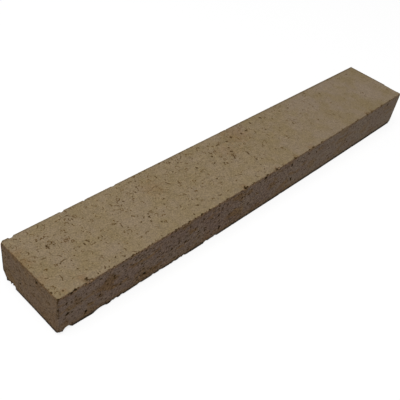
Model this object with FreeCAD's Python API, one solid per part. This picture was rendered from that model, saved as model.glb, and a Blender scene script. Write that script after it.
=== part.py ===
"""A long refractory firebrick: one bar of fired clay with worn arrises and chips.

Units are millimetres. X runs along the bar from its near end to its far end, Y across it
from the front face to the back face, and Z upwards. The origin is under the middle of the
bar, on the bed that it lies on.
"""

import FreeCAD
import Part

import math
import os
from collections import namedtuple

# Driving dimensions
LENGTH = 500.0
WIDTH = 75.0  # across the middle, where the bar is widest
HEIGHT = 43.0
FRONT_BOW = 1.5  # how far the front face swelled between its ends in the kiln
ARRIS_RADIUS = 0.6  # the rounding that moulding and handling leave on every edge
FRONT_WEAR = 1.7  # how far long shallow wear reaches over the faces at the front bottom arris
END_WEAR = 2.0  # and at the near end's bottom arris

# Faces and ends, worked out from the driving dimensions
NEAR_X = -LENGTH / 2
FAR_X = LENGTH / 2
MIDDLE_X = (NEAR_X + FAR_X) / 2
FRONT_Y = -WIDTH / 2  # at mid-length, on the crown of the bow
FRONT_CORNER_Y = FRONT_Y + FRONT_BOW
BACK_Y = WIDTH / 2
BOTTOM_Z = 0.0
TOP_Z = HEIGHT
FRONT_RADIUS = (LENGTH**2 / 4 + FRONT_BOW**2) / (2 * FRONT_BOW)

# A flake knocked out of a long arris: where its middle lies along the bar, its length, and
# how far it reaches over the bed face and over the upright side face.
Flake = namedtuple("Flake", "x length over_bed over_side")

FRONT_TOP_FLAKES = [
    Flake(x=NEAR_X + 30.0, length=10.0, over_bed=4.8, over_side=2.0),
    Flake(x=MIDDLE_X - 42.5, length=9.0, over_bed=2.4, over_side=1.6),
    Flake(x=MIDDLE_X + 5.5, length=8.0, over_bed=2.2, over_side=1.2),
    Flake(x=MIDDLE_X + 34.0, length=6.0, over_bed=2.0, over_side=1.4),
    Flake(x=FAR_X - 76.5, length=8.0, over_bed=2.6, over_side=1.4),
    Flake(x=FAR_X - 67.5, length=6.0, over_bed=2.2, over_side=1.8),
    Flake(x=FAR_X - 47.0, length=4.0, over_bed=1.4, over_side=1.2),
]
FRONT_BOTTOM_FLAKES = [
    # Long shallow wear
    Flake(x=NEAR_X + 9.0, length=46.0, over_bed=1.3, over_side=1.3),
    Flake(x=NEAR_X + LENGTH / 6, length=LENGTH / 4, over_bed=FRONT_WEAR, over_side=FRONT_WEAR),
    Flake(x=MIDDLE_X - 80.5, length=15.0, over_bed=1.6, over_side=1.6),
    # Short deep chips
    Flake(x=NEAR_X + 8.7, length=9.4, over_bed=4.0, over_side=4.8),
    Flake(x=NEAR_X + 40.3, length=15.5, over_bed=2.6, over_side=2.8),
    Flake(x=NEAR_X + 52.3, length=4.0, over_bed=2.2, over_side=2.2),
    Flake(x=NEAR_X + 55.8, length=5.0, over_bed=2.4, over_side=2.4),
    Flake(x=NEAR_X + 62.2, length=4.4, over_bed=2.2, over_side=2.2),
    Flake(x=NEAR_X + 81.3, length=6.0, over_bed=2.4, over_side=2.5),
    Flake(x=NEAR_X + 96.6, length=6.0, over_bed=2.4, over_side=2.4),
    Flake(x=NEAR_X + 105.8, length=4.0, over_bed=2.2, over_side=2.2),
    Flake(x=NEAR_X + 121.2, length=5.0, over_bed=2.0, over_side=2.0),
    Flake(x=NEAR_X + 128.8, length=6.0, over_bed=2.0, over_side=2.0),
    Flake(x=NEAR_X + 133.3, length=5.0, over_bed=2.1, over_side=2.2),
    Flake(x=MIDDLE_X - 88.0, length=6.5, over_bed=2.2, over_side=2.4),
    Flake(x=MIDDLE_X - 75.6, length=4.6, over_bed=2.0, over_side=2.2),
]
BACK_TOP_FLAKES = [
    Flake(x=NEAR_X + 9.2, length=5.0, over_bed=1.8, over_side=2.0),
    Flake(x=NEAR_X + 57.0, length=5.0, over_bed=1.4, over_side=1.4),
    Flake(x=NEAR_X + 111.5, length=6.0, over_bed=1.2, over_side=1.2),
]

# A flake out of the near end's bottom arris, placed across the bar instead of along it.
EndFlake = namedtuple("EndFlake", "y length over_bed over_end")
NEAR_BOTTOM_FLAKES = [
    # Wear all along the arris
    EndFlake(y=BACK_Y - WIDTH / 3, length=2 * WIDTH, over_bed=END_WEAR, over_end=END_WEAR),
    # Chips beside the back corner
    EndFlake(y=BACK_Y - 14.0, length=4.2, over_bed=3.2, over_end=5.0),
    EndFlake(y=BACK_Y - 8.2, length=4.6, over_bed=3.4, over_end=4.8),
]

# A flake off a corner: how far it reaches along each of the three arrises there.
CornerFlake = namedtuple("CornerFlake", "x y z along across up")
CORNER_FLAKES = [
    CornerFlake(NEAR_X, FRONT_CORNER_Y, BOTTOM_Z, along=6.0, across=3.6, up=3.4),
    CornerFlake(NEAR_X, BACK_Y, BOTTOM_Z, along=6.0, across=5.4, up=11.4),
    CornerFlake(NEAR_X, BACK_Y, TOP_Z, along=1.8, across=1.6, up=3.0),
    CornerFlake(FAR_X, FRONT_CORNER_Y, BOTTOM_Z, along=3.5, across=2.2, up=3.5),
]

# The ways out of the brick, through its faces
FORWARDS = FreeCAD.Vector(0, -1, 0)
BACKWARDS = FreeCAD.Vector(0, 1, 0)
UP = FreeCAD.Vector(0, 0, 1)
DOWN = FreeCAD.Vector(0, 0, -1)
OUT_OF_NEAR_END = FreeCAD.Vector(-1, 0, 0)

SEAM = FreeCAD.Vector(1, 0, 0)  # where the seam of a new ball faces


def front_face_y(x):
    """Where the bowed front face lies at x."""
    return FRONT_Y + FRONT_RADIUS - math.sqrt(FRONT_RADIUS**2 - x**2)


def plain_bar():
    """The bar before any wear: a plan with three straight sides and a bowed front, raised."""
    near_front = FreeCAD.Vector(NEAR_X, FRONT_CORNER_Y, BOTTOM_Z)
    far_front = FreeCAD.Vector(FAR_X, FRONT_CORNER_Y, BOTTOM_Z)
    far_back = FreeCAD.Vector(FAR_X, BACK_Y, BOTTOM_Z)
    near_back = FreeCAD.Vector(NEAR_X, BACK_Y, BOTTOM_Z)
    crown = FreeCAD.Vector(0, FRONT_Y, BOTTOM_Z)
    sides = [
        Part.Arc(near_front, crown, far_front),
        Part.LineSegment(far_front, far_back),
        Part.LineSegment(far_back, near_back),
        Part.LineSegment(near_back, near_front),
    ]
    plan = Part.Wire([side.toShape() for side in sides])
    return Part.Face(plan).extrude(UP * HEIGHT)


def round_arrises(bar):
    """Every edge of the bar rounded."""
    return bar.makeFillet(ARRIS_RADIUS, bar.Edges)


def flake_ball(corner, power, outward_reaches):
    """The ball whose surface breaks a shell-shaped flake out of the brick round a point.

    Each outward reach pairs the way out of a face with the distance from the corner at
    which the ball's surface meets the arris on the other side of that face. The power is
    the square of the ball's radius less the square of its centre's distance from the
    corner, so a larger one makes a larger ball and a flatter break.
    """
    centre = FreeCAD.Vector(corner)
    for way_out, reach in outward_reaches:
        centre += way_out * ((power - reach**2) / (2 * reach))
    outwards = centre - corner
    ball = Part.makeSphere(math.sqrt(outwards.dot(outwards) + power))
    # A ball is made with its seam to +X, and a break is clean where the seam faces out of it
    ball.Placement = FreeCAD.Placement(centre, FreeCAD.Rotation(SEAM, outwards))
    return ball


def arris_ball(corner, length, outward_reaches):
    """The ball for a flake of this length along a straight arris, with corner at its middle."""
    return flake_ball(corner, (length / 2) ** 2, outward_reaches)


def long_arris_balls():
    """The balls for the flakes along the front and back arrises."""
    balls = []
    for flake in FRONT_TOP_FLAKES:
        corner = FreeCAD.Vector(flake.x, front_face_y(flake.x), TOP_Z)
        reaches = [(FORWARDS, flake.over_bed), (UP, flake.over_side)]
        balls.append(arris_ball(corner, flake.length, reaches))
    for flake in FRONT_BOTTOM_FLAKES:
        corner = FreeCAD.Vector(flake.x, front_face_y(flake.x), BOTTOM_Z)
        reaches = [(FORWARDS, flake.over_bed), (DOWN, flake.over_side)]
        balls.append(arris_ball(corner, flake.length, reaches))
    for flake in BACK_TOP_FLAKES:
        corner = FreeCAD.Vector(flake.x, BACK_Y, TOP_Z)
        reaches = [(BACKWARDS, flake.over_bed), (UP, flake.over_side)]
        balls.append(arris_ball(corner, flake.length, reaches))
    return balls


def end_arris_balls():
    """The balls for the flakes along the near end's bottom arris."""
    balls = []
    for flake in NEAR_BOTTOM_FLAKES:
        corner = FreeCAD.Vector(NEAR_X, flake.y, BOTTOM_Z)
        reaches = [(OUT_OF_NEAR_END, flake.over_bed), (DOWN, flake.over_end)]
        balls.append(arris_ball(corner, flake.length, reaches))
    return balls


def corner_balls():
    """The balls for the flakes off the corners."""
    balls = []
    for flake in CORNER_FLAKES:
        corner = FreeCAD.Vector(flake.x, flake.y, flake.z)
        out_of_end = FreeCAD.Vector(math.copysign(1, flake.x), 0, 0)
        out_of_side = FreeCAD.Vector(0, math.copysign(1, flake.y), 0)
        out_of_bed = UP if flake.z == TOP_Z else DOWN
        power = flake.along**2 + flake.across**2 + flake.up**2
        reaches = [(out_of_end, flake.along), (out_of_side, flake.across), (out_of_bed, flake.up)]
        balls.append(flake_ball(corner, power, reaches))
    return balls


def firebrick():
    """The whole brick: the rounded bar, with the flakes broken out of it one after another."""
    brick = round_arrises(plain_bar())
    for ball in long_arris_balls() + end_arris_balls() + corner_balls():
        brick = brick.cut(ball)
    return brick


os.makedirs("parts", exist_ok=True)
brick = firebrick()
print("solids", len(brick.Solids), "valid", brick.isValid(), "faces", len(brick.Faces))
print("box", brick.optimalBoundingBox(False, False))
print("volume", round(brick.Volume, 1), "of a plain bar's", LENGTH * WIDTH * HEIGHT)
brick.Solids[0].exportStep("parts/firebrick.step")
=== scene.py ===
# %% [markdown]
# # A long refractory firebrick
#
# The object is one bar of fireclay: pressed in a mould, fired hard, and then knocked about in
# the yard. All of its character is in its skin: pits where coarse grains tore out, crescent
# tears round the grains that stayed, nicked arrises, and a tan colour that turns brown on the
# sides. This lesson starts from the plain solid, roughens it, and gives it a fired finish.

# %% The frame
import math
import random

import bpy
import numpy as np
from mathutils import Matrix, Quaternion, Vector
from mathutils.kdtree import KDTree


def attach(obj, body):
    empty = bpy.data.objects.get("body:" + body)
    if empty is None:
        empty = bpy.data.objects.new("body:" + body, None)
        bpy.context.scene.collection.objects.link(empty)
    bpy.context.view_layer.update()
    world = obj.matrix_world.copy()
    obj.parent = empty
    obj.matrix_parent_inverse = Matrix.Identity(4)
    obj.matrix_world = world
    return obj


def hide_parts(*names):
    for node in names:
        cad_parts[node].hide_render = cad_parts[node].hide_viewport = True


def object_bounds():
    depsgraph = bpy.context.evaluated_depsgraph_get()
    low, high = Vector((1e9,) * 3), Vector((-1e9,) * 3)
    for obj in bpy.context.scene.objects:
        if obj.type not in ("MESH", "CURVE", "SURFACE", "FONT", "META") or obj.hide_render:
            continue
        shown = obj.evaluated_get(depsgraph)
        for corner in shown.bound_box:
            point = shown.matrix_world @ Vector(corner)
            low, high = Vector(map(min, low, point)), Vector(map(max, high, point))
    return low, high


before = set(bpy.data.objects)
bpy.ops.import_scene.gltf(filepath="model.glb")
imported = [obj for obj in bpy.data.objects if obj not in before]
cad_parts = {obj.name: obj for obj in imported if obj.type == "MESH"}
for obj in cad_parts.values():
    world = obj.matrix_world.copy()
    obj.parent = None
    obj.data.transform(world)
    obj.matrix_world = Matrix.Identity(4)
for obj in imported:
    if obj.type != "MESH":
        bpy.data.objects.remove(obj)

MM = 0.001
cad_low, cad_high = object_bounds()
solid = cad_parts["firebrick"]
NEAR, FRONT, BOTTOM = [round(edge / MM, 2) for edge in cad_low]
FAR, BACK, TOP = [round(edge / MM, 2) for edge in cad_high]
LENGTH, WIDTH, HEIGHT = FAR - NEAR, BACK - FRONT, TOP - BOTTOM
print("the solid measures", LENGTH, WIDTH, HEIGHT, "mm")

# %% [markdown]
# ## The camera
#
# The brick is seen from above its near end, looking along it, so that the near end is large
# and the far end small. A camera can be aimed with a Track To constraint, or turned by hand.
# Here it is turned in code: first level, towards the point that sits in the middle of the
# picture, and then tipped about its own line of sight, because the view isn't quite level.

# %% Camera
EYE = Vector((-410.7, -265.4, 392.9)) * MM
AIM = Vector((-89.5, -23.1, 43.0)) * MM
TIP = math.radians(10.855)
LENS_MM = 54.387
SENSOR_MM = 36.0

bpy.ops.object.camera_add(location=EYE)
camera = bpy.context.object
camera.name = "camera"
camera.data.lens = LENS_MM
camera.data.sensor_width = SENSOR_MM
camera.data.clip_start = 10 * MM
camera.rotation_mode = "QUATERNION"
level_turn = (AIM - EYE).to_track_quat("-Z", "Y")
camera.rotation_quaternion = level_turn @ Quaternion((0, 0, 1), TIP)
bpy.context.scene.camera = camera
print("the camera stands", round((EYE - AIM).length / MM), "mm from its aim")

# %% [markdown]
# ## A skin to work on
#
# The solid's own mesh has long thin triangles, and nothing can be roughened that has no points
# to move. Subdividing would only make the long triangles longer and thinner. A voxel remesh
# lays an even net of points over the whole shape instead, chips included, under half a
# millimetre apart, which is fine enough for a pit of a millimetre or two. It blunts the
# arrises a little, so a Shrinkwrap modifier then lays every point of the net back on the solid.

# %% Even skin
NET = 0.4

bpy.ops.object.select_all(action="DESELECT")
brick = bpy.data.objects.new("fired_brick", solid.data.copy())
bpy.context.scene.collection.objects.link(brick)
bpy.context.view_layer.objects.active = brick
brick.select_set(True)
brick.data.materials.clear()

bpy.ops.object.mode_set(mode="EDIT")
bpy.ops.mesh.select_all(action="SELECT")
bpy.ops.mesh.remove_doubles(threshold=0.001 * MM)
bpy.ops.object.mode_set(mode="OBJECT")

bpy.ops.object.modifier_add(type="REMESH")
remesh = brick.modifiers["Remesh"]
remesh.mode = "VOXEL"
remesh.voxel_size = NET * MM
bpy.ops.object.modifier_apply(modifier=remesh.name)

bpy.ops.object.modifier_add(type="SHRINKWRAP")
lay_back = brick.modifiers["Shrinkwrap"]
lay_back.target = solid
bpy.ops.object.modifier_apply(modifier=lay_back.name)
print("the even skin has", len(brick.data.vertices), "points")

# %% [markdown]
# ## Painting weights in code
#
# A Displace modifier can be held to part of a mesh by a vertex group, as a sculptor masks
# clay. The weights could be painted with a brush. Here they come from measurements, so one
# helper takes a weight for every point and fills a group with it, in a few even steps.


# %% Weight helpers
WEIGHT_STEPS = 24


def points_of(piece):
    """Every point of a piece, in millimetres, as rows of X, Y and Z."""
    flat = np.empty(len(piece.data.vertices) * 3, np.float32)
    piece.data.vertices.foreach_get("co", flat)
    return flat.reshape(-1, 3) / MM


def fade(values, low, high):
    """A smooth step from 0 at low to 1 at high."""
    share = np.clip((values - low) / (high - low), 0, 1)
    return share * share * (3 - 2 * share)


def paint_weights(piece, name, weights):
    """A vertex group of this name that holds a weight from 0 to 1 for each point."""
    group = piece.vertex_groups.new(name=name)
    steps = np.round(np.clip(weights, 0, 1) * WEIGHT_STEPS).astype(int)
    for step in range(1, WEIGHT_STEPS + 1):
        chosen = np.nonzero(steps == step)[0]
        if len(chosen):
            group.add(chosen.tolist(), step / WEIGHT_STEPS, "REPLACE")
    print("painted", name, "on", int((steps > 0).sum()), "points")


def sink(piece, group, depth, texture=None):
    """Push a piece's skin inwards by depth in millimetres, held to a group, shaped by a texture."""
    bpy.context.view_layer.objects.active = piece
    bpy.ops.object.modifier_add(type="DISPLACE")
    push = piece.modifiers["Displace"]
    push.strength = -depth * MM
    push.mid_level = 0.0
    push.texture_coords = "LOCAL"
    push.texture = texture
    push.vertex_group = group
    bpy.ops.object.modifier_apply(modifier=push.name)


# %% [markdown]
# ## The twelve arrises
#
# An arris is the sharp edge where two faces meet, and it is the first thing to wear. Each of
# the twelve gets its own share of wear, because the front side's top arris and its upright one
# at the near end are rough on this brick, while the others are almost as straight as the mould
# left them. The wear of a point is the wear of the arris that it lies on, and fades off over a
# couple of millimetres. The front side bows outwards, so its arrises bow with it.

# %% Wear along the arrises
FRONT_BOW = 1.5
ARRIS_CORE, ARRIS_REACH = 0.4, 2.4  # wear is full inside the core and gone at the reach
# Each arris: from, to and its share of wear
ARRISES = [
    ((NEAR, FRONT, TOP), (FAR, FRONT, TOP), 0.60),
    ((NEAR, FRONT, BOTTOM), (FAR, FRONT, BOTTOM), 0.12),
    ((NEAR, BACK, TOP), (FAR, BACK, TOP), 0.12),
    ((NEAR, BACK, BOTTOM), (FAR, BACK, BOTTOM), 0.20),
    ((NEAR, FRONT, TOP), (NEAR, BACK, TOP), 0.30),
    ((NEAR, FRONT, BOTTOM), (NEAR, BACK, BOTTOM), 0.20),
    ((NEAR, FRONT, BOTTOM), (NEAR, FRONT, TOP), 0.90),
    ((NEAR, BACK, BOTTOM), (NEAR, BACK, TOP), 0.12),
    ((FAR, FRONT, TOP), (FAR, BACK, TOP), 0.12),
    ((FAR, FRONT, BOTTOM), (FAR, BACK, BOTTOM), 0.20),
    ((FAR, FRONT, BOTTOM), (FAR, FRONT, TOP), 0.20),
    ((FAR, BACK, BOTTOM), (FAR, BACK, TOP), 0.20),
]
SMOOTH_FROM, SMOOTH_TO = 240.0, 380.0  # from the near end
FAR_SPARED = 0.4  # how much less the smooth far part is worn


def set_back(x):
    """How far behind its crown the bowed front side lies, at x from the middle of the bar."""
    return x * x * (4 * FRONT_BOW / LENGTH**2)


def smoothness(x):
    """From 0 on the rough near part of the bar to 1 on its smooth far part."""
    return fade(x - NEAR, SMOOTH_FROM, SMOOTH_TO)


points = points_of(brick)
unbowed = points.copy()
unbowed[:, 1] -= set_back(points[:, 0]) * (points[:, 1] < 0)
wear = np.zeros(len(points))
for start, end, share in ARRISES:
    across = [axis for axis in range(3) if start[axis] == end[axis]]
    gaps = unbowed[:, across] - np.array(start)[across]
    wear = np.maximum(wear, share * (1 - fade(np.hypot(*gaps.T), ARRIS_CORE, ARRIS_REACH)))
wear *= 1 - FAR_SPARED * smoothness(points[:, 0])
face_gaps = np.abs(np.hstack([unbowed - (NEAR, FRONT, BOTTOM), unbowed - (FAR, BACK, TOP)]))
arris_gaps = np.sort(face_gaps, axis=1)[:, 1]
print("worn points:", int((wear > 0.05).sum()))

# %% [markdown]
# ## Uneven faces and crumbled arrises
#
# Clay is pressed in a mould but shrinks in the kiln, so no face stays quite flat. A cloud
# texture sinks the faces by a quarter of a millimetre in wide soft hollows. A finer cellular
# texture then bites the worn arrises. Both only ever sink the skin: a face that bulged would
# leave the brick's own box.

# %% Hollows and bites
HOLLOW_SIZE, HOLLOW_DEPTH = 30.0, 0.25
HOLLOW_FROM, HOLLOW_TO = 0.5, 8.0  # from the nearest arris
BITE_SIZE, BITE_DEPTH = 2.2, 0.9

clouds = bpy.data.textures.new("hollows", "CLOUDS")
clouds.noise_scale = HOLLOW_SIZE * MM
clouds.noise_depth = 2
paint_weights(brick, "faces", fade(arris_gaps, HOLLOW_FROM, HOLLOW_TO))
sink(brick, "faces", HOLLOW_DEPTH, clouds)

bites = bpy.data.textures.new("bites", "CLOUDS")
bites.noise_basis = "VORONOI_F1"
bites.noise_scale = BITE_SIZE * MM
bites.noise_depth = 1
bites.contrast = 1.8
bites.intensity = 0.8
paint_weights(brick, "arrises", wear)
sink(brick, "arrises", BITE_DEPTH, bites)

# %% [markdown]
# ## Pits and tears
#
# Where a coarse grain came away, it left a pit, and where the clay shrank from a grain that
# stayed, it tore in a crescent. The marks that give this brick its own face are listed one by
# one, in millimetres from the near end and across or up the face. The rest are scattered by
# a seeded generator, thickly at the near end and thinly at the smooth far end.

# %% Marks listed one by one
# Pits: distance from the near end (or from the front), place across or up the face, and width
TOP_PITS = [
    (21.4, 20.9, 1.2), (12.2, 28.3, 1.0), (9.8, 13.6, 1.0), (24.6, 11.9, 1.8), (22.1, -8.8, 1.2),
    (8.4, -31.2, 1.4), (39.7, -2.8, 1.1), (54.4, 19.3, 1.2), (56.5, 7.8, 1.1), (58.8, -29.4, 1.4),
    (16.7, 11.2, 0.9), (29.1, -21.0, 1.1), (40.3, -33.7, 1.0), (48.9, -34.1, 1.0), (30.6, -11.6, 1.0),
    (28.9, -33.4, 2.1), (27.4, -32.7, 1.2), (31.3, -35.4, 1.2),
    (84.9, -6.9, 1.1), (88.2, -10.4, 1.2), (99.4, -2.2, 1.3), (105.6, 16.1, 1.4),
    (112.0, -8.3, 1.3), (110.3, -11.8, 1.7), (108.3, -16.4, 1.5), (114.9, -22.3, 1.3),
    (121.8, 18.5, 1.3), (126.8, 23.8, 1.4), (131.4, 30.3, 1.5), (136.3, -2.3, 1.3),
    (190.9, 10.7, 1.9), (195.2, -11.9, 1.6), (215.7, 14.1, 1.9), (218.3, 0.3, 1.6), (220.5, -1.7, 1.4),
    (224.9, -3.0, 1.4), (210.1, 5.8, 1.7), (237.8, 8.6, 2.0), (240.1, 14.1, 1.9), (232.8, -0.8, 1.7),
    (246.2, 22.4, 1.9), (254.8, 24.6, 2.1), (269.0, 22.7, 2.1), (277.8, 23.5, 2.1), (291.7, 29.8, 2.1),
    (249.6, -14.8, 1.7), (279.0, -14.9, 1.3), (297.0, 12.9, 1.9), (308.5, 30.5, 2.6), (314.0, 27.8, 1.6),
    (306.6, -8.1, 1.6), (332.0, 2.5, 2.1), (351.0, 24.9, 2.2), (361.8, -9.7, 1.9), (393.0, 33.0, 2.2),
    (408.9, 22.7, 2.1), (454.2, -13.1, 1.9), (458.1, -7.1, 2.1), (477.5, 29.9, 2.2),
    (207.5, -36.0, 2.4), (253.1, -36.6, 1.4), (421.4, -35.2, 1.9), (425.5, -36.4, 1.6),
]
FRONT_PITS = [
    (0.4, 41.4, 2.2), (0.2, 38.0, 1.6), (8.0, 32.6, 2.0), (8.8, 19.5, 3.0), (26.1, 8.0, 3.0),
    (12.6, 41.0, 2.8), (15.8, 42.2, 2.6), (18.4, 42.6, 1.4), (25.5, 42.2, 1.7), (23.4, 42.8, 1.2),
    (39.2, 37.3, 1.6), (39.4, 18.2, 2.2), (41.0, 15.6, 1.6), (46.6, 26.3, 1.6), (16.0, 34.2, 1.5),
    (53.2, 30.5, 1.9), (60.0, 15.9, 2.0), (71.8, 30.8, 1.7), (83.9, 20.5, 1.6),
    (85.7, 10.8, 3.0), (136.7, 17.6, 1.8), (178.6, 9.2, 3.4), (174.3, 27.3, 2.8), (153.4, 33.8, 2.2),
    (237.6, 39.8, 3.2), (281.3, 34.5, 3.0), (286.8, 14.4, 3.2), (471.9, 36.5, 3.4),
    (116.2, 20.4, 2.6), (125.0, 23.4, 2.0), (132.9, 18.9, 2.8), (136.2, 34.8, 2.0), (149.1, 21.7, 2.2),
    (157.5, 18.2, 2.2), (197.4, 22.5, 2.0), (205.5, 31.7, 2.2), (215.4, 30.6, 2.2), (217.1, 16.8, 2.2),
    (310.2, 35.6, 2.2), (325.5, 31.6, 2.6), (352.2, 24.8, 2.2), (391.0, 17.0, 2.2),
]
# Nicks in the front side's top arris: distance from the near end and width
BROW_DROP = 0.4  # how far below the top their middles lie
BROW_NICKS = [
    (118.1, 2.0), (133.9, 2.4), (140.9, 1.9), (149.4, 2.4), (158.9, 2.4), (182.2, 2.0), (208.6, 2.6),
    (219.6, 2.2), (239.6, 2.4), (254.9, 2.6), (284.7, 2.4), (308.3, 2.6), (314.9, 2.4), (330.7, 2.4),
    (422.5, 3.0), (432.5, 2.8), (453.6, 2.6),
]
END_PITS = [
    (27.5, 38.2, 2.6), (28.0, 36.6, 2.0), (50.2, 8.9, 1.4), (70.0, 5.4, 2.0), (68.1, 4.6, 2.2),
    (66.0, 4.0, 1.6), (63.1, 5.3, 2.0), (59.1, 3.5, 1.6),
]

# Tears: from and to, each as distance from the near end and place across, then bow and width
TOP_TEARS = [
    ((24.6, 11.9), (24.8, 8.0), 0.2, 1.1), ((24.6, 11.9), (26.5, 13.2), 0.1, 0.9),
    ((25.0, 10.4), (26.4, 10.8), 0.1, 0.8), ((27.2, -32.6), (30.2, -34.9), 0.2, 1.1),
    ((29.5, -34.6), (33.5, -36.2), 0.3, 1.0), ((51.3, -0.9), (53.5, -4.6), 0.5, 1.2),
    ((54.2, -7.4), (57.0, -7.1), -0.5, 0.8), ((27.6, 20.3), (30.6, 20.6), 0.9, 0.9),
    ((29.1, 12.6), (32.0, 11.8), 0.9, 1.0), ((31.8, 10.5), (29.3, 11.4), 0.9, 0.9),
    ((38.8, 9.6), (40.9, 5.9), 1.6, 1.0), ((38.8, 9.2), (40.2, 6.6), -0.9, 0.9),
    ((9.1, 9.9), (12.8, 6.0), 0.5, 0.8), ((25.4, -1.0), (27.3, -4.4), 0.6, 0.8),
    ((22.2, -8.6), (28.9, -8.2), 0.9, 0.9), ((43.4, -4.4), (45.0, -3.2), 0.4, 0.8),
    ((44.1, 15.8), (45.8, 14.7), 0.2, 1.0), ((28.9, -20.4), (29.4, -21.9), 0.2, 0.9),
    ((14.9, -17.9), (13.6, -23.8), 0.7, 0.9), ((13.8, 2.9), (17.7, 1.9), 0.4, 1.0),
    ((55.5, 30.7), (58.7, 29.5), 0.3, 1.0), ((59.6, 27.9), (61.9, 25.8), -0.3, 0.9),
    ((95.4, 16.1), (99.1, 12.6), 1.2, 0.8), ((152.5, 13.3), (155.7, 7.5), -0.8, 1.0),
    ((150.1, 25.5), (149.9, 21.2), 0.5, 1.0), ((211.0, 31.1), (215.1, 30.1), 1.8, 1.1),
    ((217.5, 21.6), (219.4, 17.3), -0.7, 1.2), ((231.7, 23.4), (236.5, 23.1), 0.5, 1.3),
    ((235.6, 5.5), (232.2, -1.5), 0.4, 1.2), ((249.9, 0.2), (248.9, -5.6), 0.5, 1.3),
    ((380.1, -8.5), (382.9, -14.1), 0.6, 0.9), ((191.3, 33.4), (187.5, 29.5), 0.6, 1.0),
    ((276.4, 0.3), (271.9, -4.7), -0.4, 0.8), ((126.6, 25.8), (125.1, 18.6), 0.8, 0.4),
    ((125.1, 18.6), (135.3, 12.3), -0.8, 0.4), ((135.3, 12.3), (142.2, 14.4), 1.0, 0.4),
    ((142.2, 14.4), (141.3, 7.9), 0.8, 0.4), ((141.3, 7.9), (144.4, 1.4), -0.6, 0.4),
]
# Wear on the far end's top arris, as one long tear: from and to across the end, bow and width
FAR_WEAR = ((0.5, TOP), (24.0, TOP), 0.0, 2.6)
pits_by_hand = len(TOP_PITS) + len(FRONT_PITS) + len(BROW_NICKS) + len(END_PITS)
print(pits_by_hand, "pits and", len(TOP_TEARS), "tears placed by hand")

# %% [markdown]
# ## A brush for the marks
#
# Every mark is made of soft dots: a clump of them for a pit, a bowed row for a tear. A tree of
# the skin's points finds those under the brush quickly. The brush doesn't move anything yet.
# It only writes down how deep each point is to go, because the finish needs that too: deep
# places are painted dark, as painted shade.

# %% Brush
FACES = {
    "top": lambda along, across: (NEAR + along, across, TOP),
    "bottom": lambda along, across: (NEAR + along, across, BOTTOM),
    "front": lambda along, up: (NEAR + along, FRONT, up),
    "back": lambda along, up: (NEAR + along, BACK, up),
    "near": lambda across, up: (NEAR, FRONT + across, up),
    "far": lambda across, up: (FAR, FRONT + across, up),
}
DEEPEST = 1.6
PIT_DEPTH, FAR_PIT_CUT = 0.55, 0.6  # a pit's depth for its width, and how much less far away
LEAST_DOT, DOT_GAP = 1.0, 0.35  # the dots of a tear: the least width, and the gap between them

points = points_of(brick)
skin = KDTree(len(points))
for index, point in enumerate(points):
    skin.insert(point, index)
skin.balance()
pit_depth = np.zeros(len(points), np.float32)


def dab(spot, width, depth):
    """One soft dot of the brush: deepest in its middle and gone at its rim."""
    middle = skin.find(spot)[0]
    for _, index, distance in skin.find_range(middle, width / 2):
        share = 1 - (2 * distance / width) ** 2
        pit_depth[index] = max(pit_depth[index], share * depth / DEEPEST)


def pit(face, first, second, width, chance):
    """A ragged clump of dots, longer one way, as a grain leaves when it comes away."""
    middle = FACES[face](first, second)
    deep = PIT_DEPTH * (1 - FAR_PIT_CUT * float(smoothness(middle[0])))
    dab(middle, width, deep * width)
    longer_way = chance.uniform(0, math.tau)
    for side in (-1, 1, -1, 1):
        turn = longer_way + chance.uniform(-0.7, 0.7)
        reach = side * chance.uniform(0.2, 0.6) * width
        lobe = chance.uniform(0.4, 0.85) * width
        aside = FACES[face](first + reach * math.cos(turn), second + reach * math.sin(turn))
        dab(aside, lobe, deep * lobe)


def tear(face, start, end, bow, width, chance):
    """A bowed row of dots, as clay leaves when it shrinks away from a grain."""
    (x0, y0), (x1, y1) = start, end
    length = math.hypot(x1 - x0, y1 - y0)
    across = (-(y1 - y0) / length, (x1 - x0) / length)
    steps = max(3, round(length / DOT_GAP))
    for step in range(steps + 1):
        share = step / steps
        lift = 4 * bow * share * (1 - share) + chance.uniform(-0.15, 0.15)
        taper = 0.6 + 0.4 * math.sin(math.pi * share)
        x = x0 + (x1 - x0) * share + across[0] * lift
        y = y0 + (y1 - y0) * share + across[1] * lift
        dab(FACES[face](x, y), max(LEAST_DOT, width) * taper, chance.uniform(0.35, 0.6) * width)


# %% Paint the listed marks
chance = random.Random(11)
for along, across, width in TOP_PITS:
    pit("top", along, across, width, chance)
for along, up, width in FRONT_PITS:
    pit("front", along, up, width, chance)
for along, width in BROW_NICKS:
    pit("front", along, TOP - BROW_DROP, width, chance)
for across, up, width in END_PITS:
    pit("near", across, up, width, chance)
for start, end, bow, width in TOP_TEARS:
    tear("top", start, end, bow, width, chance)
tear("far", *FAR_WEAR, chance)
print("points under the marks placed by hand:", int((pit_depth > 0).sum()))

# %% [markdown]
# ## Scattered marks and nicks
#
# The small marks between the large ones follow no plan, so a generator places them. It starts
# from a seed, and so makes the same brick on every run. Each face has its own number of pits to
# a square centimetre, some pits end in a tear, and each arris is nicked in step with its share
# of wear. One Displace modifier then sinks all the marks together.

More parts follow.
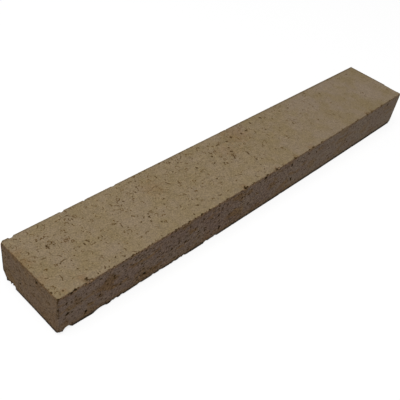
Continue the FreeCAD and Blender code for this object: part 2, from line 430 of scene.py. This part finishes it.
# %% Scatter pits and tears over the faces
PITS_PER_CM2 = {"top": 0.5, "front": 1.6, "near": 0.9, "back": 1.2, "far": 0.5, "bottom": 0.7}
MM2_PER_CM2 = 100
SMALL_PIT, PIT_SPREAD = 0.7, 0.9
TEARS_PER_PIT = 0.3
TEAR_WIDTH, TEAR_LENGTHS, TEAR_BOW = 0.8, (2, 4), 0.3  # the bow is a share of the length
FAR_SHARE = 0.15  # the share of its pits that the smooth far part keeps
SIDES = {
    "top": (0, LENGTH, FRONT, BACK),
    "bottom": (0, LENGTH, FRONT, BACK),
    "front": (0, LENGTH, BOTTOM, TOP),
    "back": (0, LENGTH, BOTTOM, TOP),
    "near": (0, WIDTH, BOTTOM, TOP),
    "far": (0, WIDTH, BOTTOM, TOP),
}

chance = random.Random(29)
for face, (low_1, high_1, low_2, high_2) in SIDES.items():
    made = 0
    face_cm2 = (high_1 - low_1) * (high_2 - low_2) / MM2_PER_CM2
    for _ in range(round(face_cm2 * PITS_PER_CM2[face])):
        first, second = chance.uniform(low_1, high_1), chance.uniform(low_2, high_2)
        thinned = float(smoothness(FACES[face](first, second)[0])) * (1 - FAR_SHARE)
        if chance.random() < thinned:
            continue
        made += 1
        pit(face, first, second, SMALL_PIT + PIT_SPREAD * chance.random() ** 3, chance)
        if chance.random() < TEARS_PER_PIT:
            turn, length = chance.uniform(0, math.tau), chance.uniform(*TEAR_LENGTHS)
            end = (first + length * math.cos(turn), second + length * math.sin(turn))
            bow = chance.uniform(-TEAR_BOW, TEAR_BOW) * length
            tear(face, (first, second), end, bow, TEAR_WIDTH, chance)
    print(face, "has", made, "scattered pits")

# %% Nick the arrises
NICKS_PER_10MM = 2.6
SMALL_NICK, NICK_SPREAD = 0.9, 1.5
NICK_DEPTH = 0.5  # for its width

for start, end, share in ARRISES:
    length = math.dist(start, end)
    for _ in range(round(length / 10 * NICKS_PER_10MM * share)):
        along = chance.random()
        x, y, z = [a + (b - a) * along for a, b in zip(start, end)]
        width = SMALL_NICK + NICK_SPREAD * chance.random() ** 3
        if chance.random() > FAR_SPARED * float(smoothness(x)):
            dab((x, y, z), width, NICK_DEPTH * width)
print("points under all the marks:", int((pit_depth > 0).sum()))

# %% Sink the marks
paint_weights(brick, "marks", pit_depth)
marks = brick.data.attributes.new("pit_depth", "FLOAT", "POINT")
marks.data.foreach_set("value", pit_depth)
sink(brick, "marks", DEEPEST)

# %% [markdown]
# ## Fewer faces where nothing happens
#
# The even net has spent most of its points on flat clay. The Decimate modifier takes points
# away where the skin is flat and keeps them along the arrises. A shallow tear looks flat to it
# too, so the weights of the marks tell it to spare the points there, and no mark is lost. The
# net and the thinning can each leave a point a hair outside the brick's own box, so the points
# are held to that box at the end.

# %% Thin out
MOST_TRIANGLES = 190_000
SPARING = 0.01  # how strongly the marks are spared

many = sum(len(face.vertices) - 2 for face in brick.data.polygons)
bpy.ops.object.modifier_add(type="DECIMATE")
thin = brick.modifiers["Decimate"]
thin.ratio = MOST_TRIANGLES / many
thin.vertex_group = "marks"
thin.invert_vertex_group = True
thin.vertex_group_factor = SPARING
bpy.ops.object.modifier_apply(modifier=thin.name)
bpy.ops.object.modifier_add(type="TRIANGULATE")
bpy.ops.object.modifier_apply(modifier="Triangulate")
brick.vertex_groups.clear()
bpy.ops.object.shade_smooth()

held = np.clip(points_of(brick) * MM, cad_low, cad_high)
brick.data.vertices.foreach_set("co", held.astype(np.float32).ravel())
brick.data.update()
print("thinned from", many, "to", len(brick.data.polygons), "triangles")

# %% [markdown]
# ## A flat pattern of the skin
#
# The finish below needs no UV map, but a picture baked from it does. Smart UV Project would cut
# this rough skin into thousands of scraps. A brick is a box, so its skin is laid out as plain
# strips, one above another, with the two ends side by side in the last. Each triangle goes with
# the face of the box that it lies on, or near an arris with the one that it faces.

# %% Box pattern
NEAR_ENOUGH = 6.0
STRIP_GAP = 3.0
# For each face: the two directions that lie in it, and the strip and start along the strip
STRIPS = {
    "near": (1, 2, 4, 0.0), "front": (0, 2, 2, 0.0), "bottom": (0, 1, 1, 0.0),
    "far": (1, 2, 4, LENGTH / 2), "back": (0, 2, 3, 0.0), "top": (0, 1, 0, 0.0),
}
strip_heights = [WIDTH, WIDTH, HEIGHT, HEIGHT, HEIGHT]
strip_floors = np.cumsum([0.0] + [height + STRIP_GAP for height in strip_heights])

triangles = brick.data.polygons
middles, facings = np.empty((2, len(triangles) * 3), np.float32)
triangles.foreach_get("center", middles)
triangles.foreach_get("normal", facings)
middles, facings = middles.reshape(-1, 3) / MM, facings.reshape(-1, 3)
face_gaps = np.hstack([middles - (NEAR, FRONT, BOTTOM), (FAR, BACK, TOP) - middles])
turned_to = np.where(face_gaps < NEAR_ENOUGH, np.hstack([-facings, facings]), -2)
chosen_face = np.repeat(np.argmax(turned_to, axis=1), 3)

corner_points = np.empty(len(brick.data.loops), np.int32)
brick.data.loops.foreach_get("vertex_index", corner_points)
corners = points_of(brick)[corner_points] - (NEAR, FRONT, BOTTOM)
flat = np.empty((len(corners), 2), np.float32)
for number, (first, second, strip, start) in enumerate(STRIPS.values()):
    there = chosen_face == number
    flat[there, 0] = (corners[there, first] + start) / LENGTH
    flat[there, 1] = (corners[there, second] + strip_floors[strip]) / strip_floors[-1]
pattern = brick.data.uv_layers.new(name="OFBake")
pattern.data.foreach_set("uv", flat.ravel())
print("triangles on each face:", np.bincount(chosen_face[::3]).tolist())

# %% [markdown]
# ## Shader maths as plain sums
#
# A procedural finish is mostly arithmetic: a noise, times a mask, plus a stain. Wiring each
# Math node by hand hides that. This small class wraps a socket, so that ordinary Python sums
# add the Math nodes, and one method adds any other kind of node.


# %% Socket sums
class Feed:
    """A value, vector or colour on its way to a shader."""

    def __init__(self, socket):
        self.socket = socket
        self.tree = socket.id_data

    def node(self, kind, settings=None, inputs=None, output=0):
        """Add a node of this kind, set it up, fill its sockets and give back one output."""
        made = self.tree.nodes.new(kind)
        for name, value in (settings or {}).items():
            setattr(made, name, value)
        for name, value in (inputs or {}).items():
            if isinstance(value, Feed):
                self.tree.links.new(value.socket, made.inputs[name])
            else:
                made.inputs[name].default_value = value
        return Feed(made.outputs[output])

    def other(self, output):
        """Another output of the node that this value comes from."""
        return Feed(self.socket.node.outputs[output])

    def maths(self, operation, *values):
        """A Math node on these values."""
        return self.node("ShaderNodeMath", {"operation": operation}, dict(enumerate(values)))

    def vector(self, operation, *values, output=0):
        """A Vector Math node on these values."""
        settings = {"operation": operation}
        return self.node("ShaderNodeVectorMath", settings, dict(enumerate(values)), output)

    def __add__(self, other):
        return self.maths("ADD", self, other)

    def __radd__(self, other):
        return self.maths("ADD", other, self)

    def __sub__(self, other):
        return self.maths("SUBTRACT", self, other)

    def __rsub__(self, other):
        return self.maths("SUBTRACT", other, self)

    def __mul__(self, other):
        return self.maths("MULTIPLY", self, other)

    def __rmul__(self, other):
        return self.maths("MULTIPLY", other, self)

    def __abs__(self):
        return self.maths("ABSOLUTE", self)

    def least(self, other):
        """The smaller of two values."""
        return self.maths("MINIMUM", self, other)

    def most(self, other):
        """The larger of two values."""
        return self.maths("MAXIMUM", self, other)

    def step(self, low, high):
        """A smooth step from 0 at low to 1 at high."""
        inputs = {"Value": self, "From Min": low, "From Max": high}
        return self.node("ShaderNodeMapRange", {"interpolation_type": "SMOOTHSTEP"}, inputs)

    def mix(self, first, second, blend="MIX"):
        """A colour between two colours, by this value."""
        settings = {"data_type": "RGBA", "blend_type": blend}
        return self.node("ShaderNodeMix", settings, {0: self, 6: first, 7: second}, output=2)

    def scaled(self, amount):
        """This vector or colour made longer or brighter."""
        inputs = {0: self, "Scale": amount}
        return self.node("ShaderNodeVectorMath", {"operation": "SCALE"}, inputs)

    def parts(self):
        """The three parts of this vector or colour."""
        first = self.node("ShaderNodeSeparateXYZ", {}, {0: self})
        return first, first.other(1), first.other(2)

    def noise(self, size, detail=2.0, roughness=0.5):
        """Noise on this vector in millimetres, with lumps of about this size."""
        inputs = {"Vector": self, "Scale": 1 / size, "Detail": detail, "Roughness": roughness}
        return self.node("ShaderNodeTexNoise", {}, inputs)


def new_material(name):
    """An empty material with a Principled shader, and that shader's node."""
    material = bpy.data.materials.new(name)
    material.use_nodes = True
    return material, material.node_tree.nodes["Principled BSDF"]


def colour(red, green, blue):
    """A colour as the sockets take it, with its alpha."""
    return (red, green, blue, 1.0)


# %% [markdown]
# ## The fired finish: where things are
#
# Every pattern reads Object coordinates in millimetres, so each size below is a size on the
# real brick, and nothing stretches or slides. The gap to each pair of faces tells bed from
# side and finds the arrises: on a face, the smallest gap is nothing, and the middle one is the
# distance to the nearest arris.

# %% Coordinates and places
EDGE_BLEND = 0.5
FAR_FROM, FAR_TO = -60, 200  # along the bar from its middle
FAR_SWAY, FAR_SWAY_SIZE = 120, 60.0  # how far and in what lumps that border wanders

fireclay, shader = new_material("fireclay")
tree = fireclay.node_tree
place = Feed(tree.nodes.new("ShaderNodeTexCoord").outputs["Object"]).scaled(1 / MM)
x_mm, y_mm, z_mm = place.parts()
depth = place.node("ShaderNodeAttribute", {"attribute_name": "pit_depth"}, output="Fac")

bed_gap = z_mm.least(TOP - z_mm)
front_gap = y_mm - FRONT - set_back(x_mm)
side_gap = front_gap.least(BACK - y_mm)
end_gap = (x_mm - NEAR).least(FAR - x_mm)
arris_gap = bed_gap.least(side_gap).most(bed_gap.most(side_gap).least(end_gap))
upright_gap = side_gap.most(end_gap)
on_side = (bed_gap - side_gap.least(end_gap)).step(-EDGE_BLEND, EDGE_BLEND)
on_end = (side_gap - end_gap).step(-EDGE_BLEND, EDGE_BLEND) * on_side
far_part = (x_mm + place.noise(FAR_SWAY_SIZE) * FAR_SWAY - FAR_SWAY / 2).step(FAR_FROM, FAR_TO)
print("places and gaps take", len(tree.nodes), "nodes")

# %% [markdown]
# ## The fired finish: clay and iron
#
# Fireclay burns to a dry tan, in soft clouds that turn greyer towards the far end. The sides
# were nearer the fire and are browner, with purple-grey and rusty patches, and iron in the
# clay leaves a few orange blooms, which are listed one by one.

# %% Clay
BED_TAN = colour(0.247, 0.183, 0.093)
BED_GREY = colour(0.278, 0.212, 0.146)
SIDE_PLUM = colour(0.221, 0.149, 0.112)
SIDE_GREY = colour(0.284, 0.218, 0.161)
END_OLIVE = colour(0.243, 0.166, 0.100)
BLOOM = colour(0.90, 0.81, 0.72)
RUST = colour(0.91, 0.79, 0.54)
CLOUD_SIZE, BLOTCH_SIZE = 26.0, 9.0

cloudy = place.noise(CLOUD_SIZE, 4.0).step(0.32, 0.68)
blotchy = place.noise(BLOTCH_SIZE, 3.0).step(0.35, 0.65)
bed = (cloudy * 0.35 + blotchy * 0.25 + far_part * (cloudy * 0.4) + 0.1).mix(BED_TAN, BED_GREY)
bed = bed.scaled(1 - far_part * 0.06)
side = (cloudy * 0.35 + blotchy * 0.15 + far_part * 0.5).mix(SIDE_PLUM, SIDE_GREY)
side = on_end.mix(side, (cloudy * 0.4).mix(END_OLIVE, SIDE_PLUM))
clay = on_side.mix(bed, side)
print("clay brings that to", len(tree.nodes), "nodes")

# %% Iron
# Blooms: distance from the near end, across, up, width and strength
BLOOMS = [
    (2, 19, TOP, 16, 0.9), (3, 8, TOP, 14, 0.9), (3, -14, TOP, 12, 0.6), (26, -30, TOP, 10, 1.0),
    (9, -32, TOP, 7, 0.9), (40, 8, TOP, 7, 0.8), (208, -36, TOP, 12, 1.0), (423, -36, TOP, 10, 1.0),
    (262, 26, TOP, 40, 0.8), (236, 12, TOP, 30, 0.6), (138, 14, TOP, 30, 0.6), (254, -36, TOP, 9, 0.9),
    (286, -36, TOP, 9, 0.8), (312, -37, TOP, 12, 0.9), (432, -36, TOP, 9, 0.8), (454, -36, TOP, 7, 0.8),
    (18, FRONT, 27, 14, 0.8), (40, FRONT, 18, 9, 0.7), (48, FRONT, 27, 9, 0.5), (6, FRONT, 8, 14, 0.8),
    (30, FRONT, 4, 22, 0.7), (84, FRONT, 8, 26, 0.9), (205, FRONT, 15, 18, 0.9),
    (160, FRONT, 10, 16, 0.6), (0, 27, 9, 18, 0.6), (0, -20, 6, 22, 0.6),
]
RAGGED_SIZE, STREAK_SIZE = 4.0, 7.0
DRAWN_OUT = (0.4, 1.0, 1.0)  # streaks are longer along the bar
BROW_FROM, BROW_TO = 0.8, 4.0  # below the top
SKIRT_FROM, SKIRT_TO = 2.0, 11.0  # above the foot

# On the sides, rust hangs under the top arris as a brow, rises from the foot as a skirt, and
# streaks the clay between
ragged = place.noise(RAGGED_SIZE, 3.0)
brow = 1 - (TOP - z_mm + ragged * 3 - 1.5).step(BROW_FROM, BROW_TO)
skirt = 1 - (z_mm + ragged * 10 - 5).step(SKIRT_FROM, SKIRT_TO)
streaks = place.vector("MULTIPLY", place, DRAWN_OUT)
rusty = streaks.noise(STREAK_SIZE, 4.0).step(0.52, 0.62).most(skirt * 0.8) * (1 - far_part * 0.4)
rusty = on_side * (rusty * (1 - on_end * 0.6)).most(brow * 0.8)
for along, across, up, width, strength in BLOOMS:
    gap = place.vector("DISTANCE", place, (NEAR + along, across, up), output="Value")
    bloom = 1 - (gap + (ragged - 0.5) * width).step(0.1 * width, 0.55 * width)
    rusty = rusty.most(bloom * strength)
clay = rusty.mix(clay, on_side.mix(BLOOM, RUST), "MULTIPLY")
print("iron brings that to", len(tree.nodes), "nodes")

# %% [markdown]
# ## The fired finish: grain, crescents and specks
#
# Close up, the clay is a mass of fine grains, so a fine noise lightens and darkens it. The
# tears that are too fine to model are painted: space is split into cells, one for each coarse
# grain, and a thin shell round the middle of a cell, kept on one side only, is the crescent
# where clay shrank from it. The same cells, smaller, give the specks. All of it fades towards
# the smooth far end.

# %% Grain
FINE_GRAIN, MEDIUM_GRAIN, COARSE_GRAIN = 1.2, 2.2, 4.5
AWAY_FROM, AWAY_TO = 60, 200  # from the near end

contrast = (1.12 - far_part * 0.45) * (1 + on_side * 0.75 - on_end * 0.45)
fine = place.noise(FINE_GRAIN, 3.0, 0.65)
medium = place.noise(MEDIUM_GRAIN, 2.0)
coarse = place.noise(COARSE_GRAIN, 2.0)
fine_part = 1.4 + on_side * 0.2 + on_end * 0.2
away_part = (x_mm - NEAR).step(AWAY_FROM, AWAY_TO) * (0.5 + on_side * 0.6)
away_part = away_part * (1 - far_part * on_side * 0.5)
grain = (fine - 0.5) * fine_part + (medium - 0.5) * away_part + (coarse - 0.5) * 0.2
clay = clay.scaled(1 + grain * contrast)
print("grain brings that to", len(tree.nodes), "nodes")

# %% Crescents and specks
GRAIN_SIZE = 6.0
BED_SPECK_SIZE = 2.6
SIDE_SPECK_SIZE = 2.4
SPECK = colour(0.105, 0.054, 0.012)
PIT_DARK = colour(0.064, 0.036, 0.011)
WOBBLE_SIZE, WOBBLE_REACH = 2.5, 3.0
LEAST_SHELL, SHELL_SPREAD = 1.0, 1.6
THICK_SIZE = 30.0
SIDE_DRAWN_OUT = (0.6, 1.0, 1.0)
HALF = (0.5, 0.5, 0.5)

wobble = place.noise(WOBBLE_SIZE).other("Color")
bent = place.vector("ADD", place, wobble.vector("SUBTRACT", wobble, HALF).scaled(WOBBLE_REACH))


def cells(spots, size):
    """Split space into cells: the way from the middle of each cell, its length, and its lot."""
    inputs = {"Vector": spots, "Scale": 1 / size}
    middle = spots.node("ShaderNodeTexVoronoi", {}, inputs, "Position")
    away = spots.vector("SUBTRACT", spots, middle)
    return away, away.vector("LENGTH", away, output="Value"), middle.other("Color")


away, reach, lot = cells(bent, GRAIN_SIZE)
lot_1, lot_2, _ = lot.parts()
way = lot.vector("NORMALIZE", lot.vector("SUBTRACT", lot, HALF))
facing = away.vector("DOT_PRODUCT", away.vector("NORMALIZE", away), way, output="Value")
shell = 1 - abs(reach - lot_1 * SHELL_SPREAD - LEAST_SHELL).step(0.1, 0.36)
# The marks lie thicker in patches, and thicker towards the back
thick = (place.noise(THICK_SIZE) - 0.5) * 1.2 + y_mm * (0.8 / WIDTH)
crescent = shell * facing.step(0.0, 0.4) * (lot_2 + thick).step(0.35, 0.4) * (1 - far_part * 0.5)

_, reach, lot = cells(bent, BED_SPECK_SIZE)
lot_1, lot_2, _ = lot.parts()
kept = (lot_2 + thick).step(0.55, 0.6) * (1 - far_part * 0.6)
bed_speck = (1 - (reach - lot_1 * 0.3).step(0.12, 0.42)) * kept * (1 - on_side)

drawn_out = place.vector("MULTIPLY", bent, SIDE_DRAWN_OUT)
_, reach, lot = cells(drawn_out, SIDE_SPECK_SIZE)
lot_1, lot_2, _ = lot.parts()
kept = lot_2.step(0.3, 0.35) * (1 - far_part * 0.35) * (1 - on_end * 0.3) * on_side
side_speck = (1 - (reach - lot_1 * 0.6).step(0.1, 0.5)) * kept
halo = (1 - (reach - lot_1 * 0.5).step(0.5, 1.2)) * kept

clay = (halo * 0.3).mix(clay, RUST, "MULTIPLY")
clay = (crescent * 0.95).most(bed_speck * 0.95).mix(clay, SPECK)
clay = (side_speck * 0.95).mix(clay, PIT_DARK)
print("crescents and specks bring that to", len(tree.nodes), "nodes")

# %% [markdown]
# ## The fired finish: painted shade and dark rims
#
# Shade is painted into the pits, a painted contact shadow runs along the foot of the sides, and
# the rims and upright arrises are darkened too. The depth that the brush wrote down tells how
# much: a shallow mark is brown, and a deep hole in a side almost black. This is mixed in last.

# %% Painted shade and dark rims
# The colour of the painted contact shadow along the foot
FOOT_SHADOW = colour(0.022, 0.014, 0.007)
# The colour of painted shade in deep holes
HOLE_SHADE = colour(0.010, 0.005, 0.001)
TORN_SIZE, PATCHY_SIZE = 0.9, 4.0
WEAR_END_FROM, WEAR_END_TO = 130, 170  # from the near end, where the bottom arris's wear ends

torn = (place.noise(TORN_SIZE, 2.0) - 0.5) * 0.3
in_pit = depth + torn * depth.step(0.02, 0.1)
pit_shade_share = 1 - far_part * 0.25 * (1 - on_side)
# Painted shade in the pits: a shallow mark is painted brown, a deeper one darker, and a deep hole in a
# side almost black
clay = (in_pit.step(0.0, 0.12) * pit_shade_share * 0.7).mix(clay, SPECK)
clay = (in_pit.step(0.06, 0.35) * pit_shade_share * 0.95).mix(clay, PIT_DARK)
clay = (in_pit.step(0.3, 0.7) * on_side).mix(clay, HOLE_SHADE)

# The foot's dark line is a painted contact shadow; it rises and sinks along the bar with the wear of the
# bottom arris
past_wear = (x_mm - NEAR).step(WEAR_END_FROM, WEAR_END_TO)
foot_rise = 0.5 - past_wear * 0.6 + far_part * 0.8 + on_end * 0.5
foot = (1 - (z_mm - foot_rise).step(2.0, 4.4)) * (1 - arris_gap.step(4.0, 6.0)) * 0.9
# The rims of the bed at the back and the far end, and the upright arrises, are painted darker too
rim_gap = (BACK - y_mm).least(FAR - x_mm).most(arris_gap) - far_part
rim = (1 - rim_gap.step(0.5, 2.2)) * 0.45
patchy = place.noise(PATCHY_SIZE, 3.0).step(0.40, 0.6)
corner = (1 - upright_gap.step(0.8, 2.8)) * (patchy * 0.5).most(y_mm.step(0, 20) * 0.75)
clay = corner.most(rim).mix(clay, PIT_DARK)
# A painted contact shadow darkens the foot of the sides
clay = foot.mix(clay, FOOT_SHADOW)
print("dirt brings that to", len(tree.nodes), "nodes")

# %% [markdown]
# ## The fired finish: relief
#
# Fired clay is dry: rough all over, with hardly any shine. A Bump node turns the grain and the
# painted tears into relief that would be too fine to model, and the finish goes on the brick.

# %% Roughness, relief and shader
BUMP_STRENGTH, BUMP_HEIGHT = 0.4, 0.4
SHINE = 0.15

roughness = 0.86 + fine * 0.12
relief = fine * 0.5 + coarse * 0.4 - crescent * 0.6 - bed_speck * 0.6 - side_speck * 0.6
bump_inputs = {"Strength": BUMP_STRENGTH, "Distance": BUMP_HEIGHT * MM, "Height": relief}
bump = place.node("ShaderNodeBump", {}, bump_inputs)
tree.links.new(clay.socket, shader.inputs["Base Color"])
tree.links.new(roughness.socket, shader.inputs["Roughness"])
tree.links.new(bump.socket, shader.inputs["Normal"])
shader.inputs["Specular IOR Level"].default_value = SHINE
brick.data.materials.append(fireclay)
print("the fireclay finish has", len(tree.nodes), "nodes")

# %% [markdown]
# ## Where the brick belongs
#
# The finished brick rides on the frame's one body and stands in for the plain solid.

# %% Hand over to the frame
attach(brick, "root")
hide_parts("firebrick")
print(brick.name, "stands in for", solid.name)

# %% [markdown]
# ## Floor and light
#
# A large soft lamp hangs over the brick, so the bed is the bright face and the sides are lit
# by the sky and the floor. The floor looks white to the camera, and still takes the shadow. Away
# from the brick it glows a little more, so that the floor's own edge is lost in the white.

# %% Floor
FLOOR_SIZE = 8.0
FLOOR_BOUNCE = 0.35
FLOOR_SEEN = 0.22
FLOOR_GLOW = 0.84
WHITE_FROM, WHITE_TO = 0.6, 1.6  # from the middle of the brick


def seen_rays(tree):
    """1 for a ray that reaches the eye straight, off a gloss or through glass, and 0 for lighting."""
    paths = tree.nodes.new("ShaderNodeLightPath")
    camera_ray, glossy, through = [
        Feed(paths.outputs[name]) for name in ("Is Camera Ray", "Is Glossy Ray", "Is Transmission Ray")
    ]
    return camera_ray.most(glossy).most(through)


def grey(level):
    """A grey of this level."""
    return colour(level, level, level)


bpy.ops.object.select_all(action="DESELECT")
bpy.ops.mesh.primitive_plane_add(size=FLOOR_SIZE, location=(0, 0, cad_low.z))
floor = bpy.context.object
floor.name = "floor"

paper, paper_shader = new_material("paper")
seen = seen_rays(paper.node_tree)
paper_colour = seen.mix(grey(FLOOR_BOUNCE), grey(FLOOR_SEEN))
paper_place = Feed(paper.node_tree.nodes.new("ShaderNodeTexCoord").outputs["Object"])
distance = paper_place.vector("LENGTH", paper_place, output="Value")
paper_glow = distance.step(WHITE_FROM, WHITE_TO).mix(grey(FLOOR_GLOW), grey(1))
paper_glow = seen.mix(grey(0), paper_glow)
paper.node_tree.links.new(paper_colour.socket, paper_shader.inputs["Base Color"])
paper.node_tree.links.new(paper_glow.socket, paper_shader.inputs["Emission Color"])
paper_shader.inputs["Emission Strength"].default_value = 1.0
paper_shader.inputs["Roughness"].default_value = 1.0
paper_shader.inputs["Specular IOR Level"].default_value = 0.0
floor.data.materials.append(paper)
print("the floor is", FLOOR_SIZE, "m wide")

# %% Lamp and sky
LAMP_PLACE = Vector((-0.50, -0.10, 1.6))
LAMP_SIZE = 1.2
LAMP_POWER = 17.5
SKY = 0.32

bpy.ops.object.light_add(type="AREA", location=LAMP_PLACE)
lamp = bpy.context.object
lamp.name = "overhead_lamp"
lamp.data.size = LAMP_SIZE
lamp.data.energy = LAMP_POWER
lamp.rotation_mode = "QUATERNION"
lamp.rotation_quaternion = (-LAMP_PLACE).to_track_quat("-Z", "Y")

sky = bpy.data.worlds.new("sky")
sky.use_nodes = True
bpy.context.scene.world = sky
backdrop = sky.node_tree.nodes["Background"]
sky_colour = seen_rays(sky.node_tree).mix(grey(SKY), grey(1))
sky.node_tree.links.new(sky_colour.socket, backdrop.inputs["Color"])
bpy.context.scene.view_settings.view_transform = "Standard"
print("the lamp hangs", round(LAMP_PLACE.length, 2), "m from the brick")
